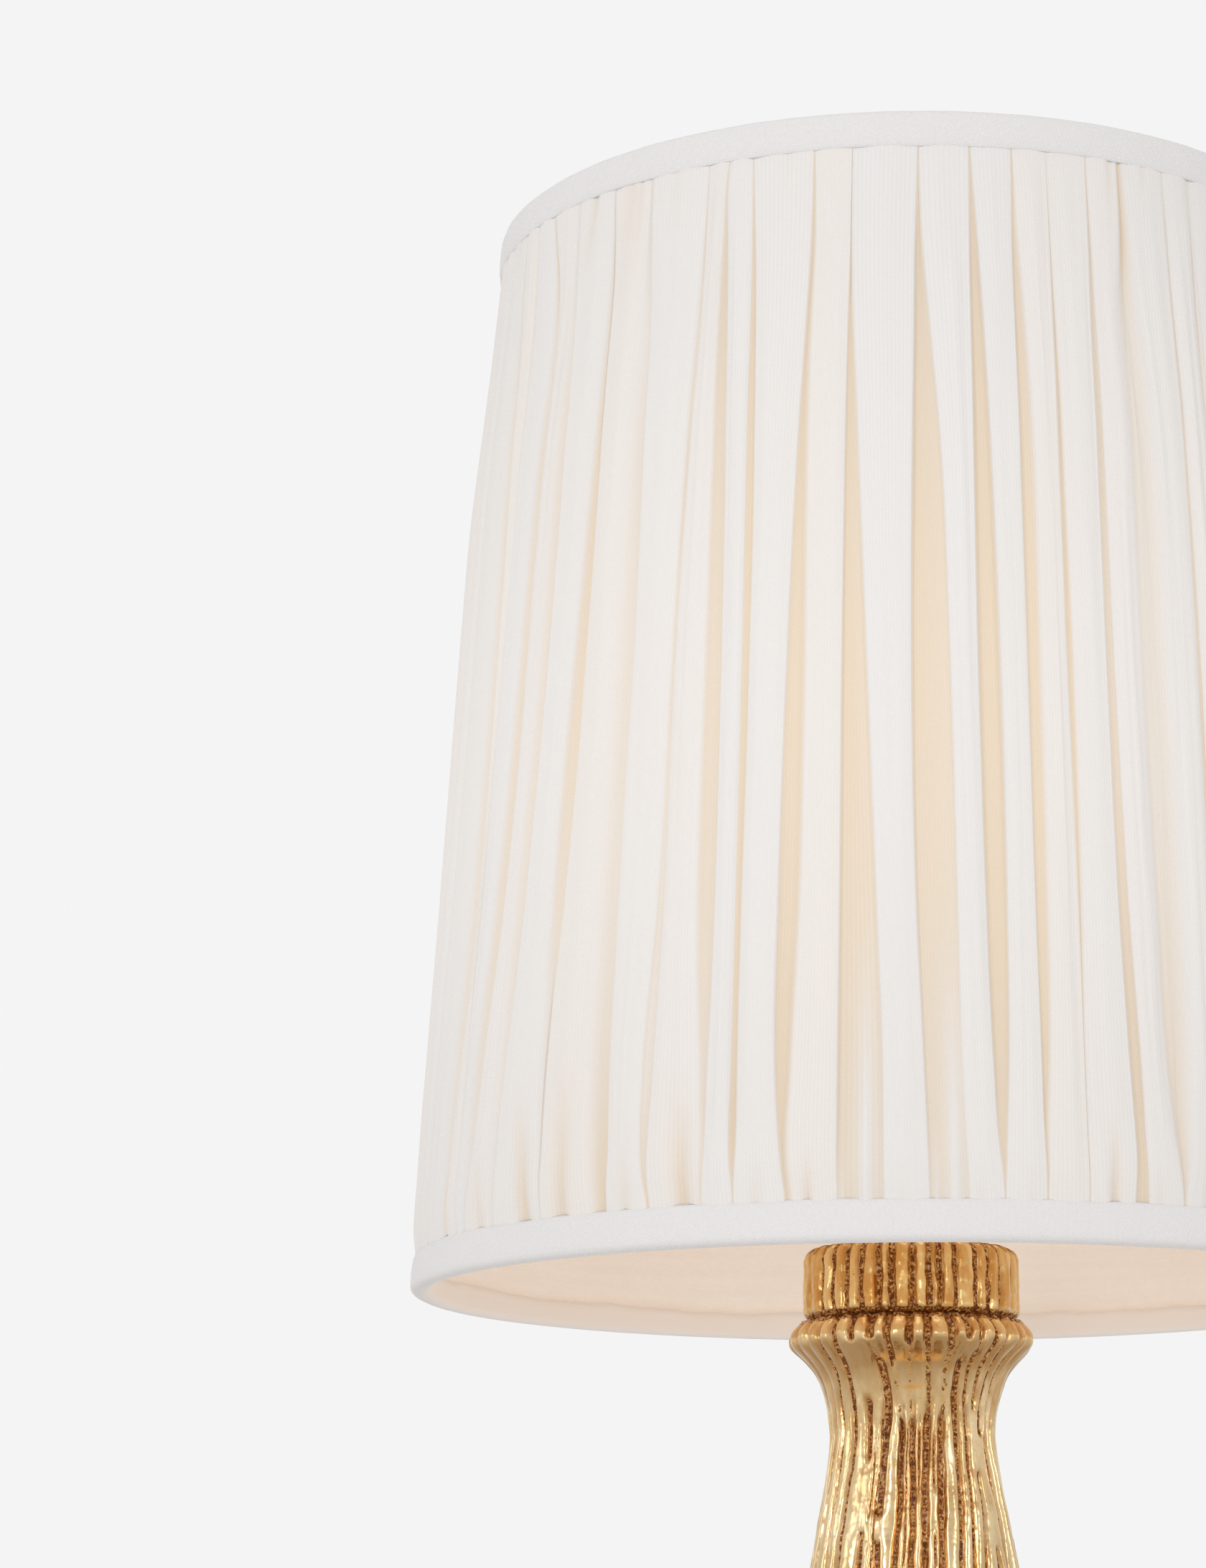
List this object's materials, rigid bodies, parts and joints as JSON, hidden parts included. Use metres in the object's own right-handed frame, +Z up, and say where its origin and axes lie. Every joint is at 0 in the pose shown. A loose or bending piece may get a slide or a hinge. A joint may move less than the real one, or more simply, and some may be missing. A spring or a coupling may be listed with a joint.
{
  "type": "cordless table lamp",
  "caption": "Rechargeable table lamp with a reeded gilt column on a round weighted foot, an opal globe on a brass tube, and a softly pleated cone shade held on a harp by a finial.",
  "frame": {"origin": "on the table, under the middle of the lamp, at the underside of the rubber feet", "axes": "+Z up the column, -Y towards the viewer of the picture, +Y towards the panel at the back of the foot, +X to the right"},
  "size_m": [0.1838, 0.1838, 0.4386],
  "materials": {
    "gilt": "polished",
    "brass": "satin",
    "steel": "satin",
    "iron": "matte",
    "aluminium": "satin",
    "black_plastic": "matte",
    "grey_plastic": "matte",
    "rubber": "matte",
    "circuit_board": "satin",
    "cell": "satin",
    "opal": "satin",
    "lead_jacket": "satin",
    "liner_cloth": "matte",
    "pleat_cloth": "matte",
    "tape_cloth": "matte"
  },
  "bodies": {
    "base": {"foot_casting": "gilt", "body_casting": "gilt", "reeded_collar": "gilt", "check_ring": "brass", "lock_nut": "brass", "harp_saddle": "brass", "harp_wire": "brass", "harp_stud": "brass", "lamp_tube": "brass", "cover_screw_1": "steel", "cover_screw_2": "steel", "cover_screw_3": "steel", "cover_screw_4": "steel", "contact_strip": "steel", "charging_socket": "steel", "threaded_rod": "steel", "bottom_washer": "steel", "bottom_nut": "steel", "ballast_disc": "iron", "heat_sink": "aluminium", "base_cover": "black_plastic", "battery_tray": "black_plastic", "rear_panel": "black_plastic", "tact_switch": "black_plastic", "rubber_foot_1": "rubber", "rubber_foot_2": "rubber", "rubber_foot_3": "rubber", "rubber_foot_4": "rubber", "control_board": "circuit_board", "led_board": "circuit_board", "battery_cell_1": "cell", "battery_cell_2": "cell", "globe_diffuser": "opal", "charge_light": "opal", "led_lead": "lead_jacket", "battery_lead_positive": "lead_jacket", "battery_lead_negative": "lead_jacket"},
    "shade": {"bottom_wire_ring": "steel", "top_wire_ring": "steel", "spider_hub": "steel", "spider_arm_1": "steel", "spider_arm_2": "steel", "spider_arm_3": "steel", "shade_liner": "liner_cloth", "pleated_cover": "pleat_cloth", "bottom_trim": "tape_cloth", "top_trim": "tape_cloth"},
    "finial": {"finial_knob": "gilt"},
    "power_button": {"power_button": "black_plastic", "switch_plunger": "grey_plastic"},
    "sleeve_left": {"harp_sleeve_left": "brass"},
    "sleeve_right": {"harp_sleeve_right": "brass"}
  },
  "joints": [
    {"name": "shade_lift", "type": "slide", "parent": "base", "child": "shade", "axis": [0, 0, 1], "range_m": [0, 0.21]},
    {"name": "finial_turn", "type": "hinge", "parent": "shade", "child": "finial", "pos_m": [0, 0, 0.43], "axis": [0, 0, 1], "continuous": true},
    {"name": "button_press", "type": "slide", "parent": "base", "child": "power_button", "axis": [0, -1, 0], "range_m": [0, 0.0008], "stiffness_N_per_m": 400, "springref_m": -0.0005},
    {"name": "sleeve_left_lift", "type": "slide", "parent": "base", "child": "sleeve_left", "axis": [0, 0, 1], "range_m": [0, 0.013]},
    {"name": "sleeve_right_lift", "type": "slide", "parent": "base", "child": "sleeve_right", "axis": [0, 0, 1], "range_m": [0, 0.013]}
  ]
}
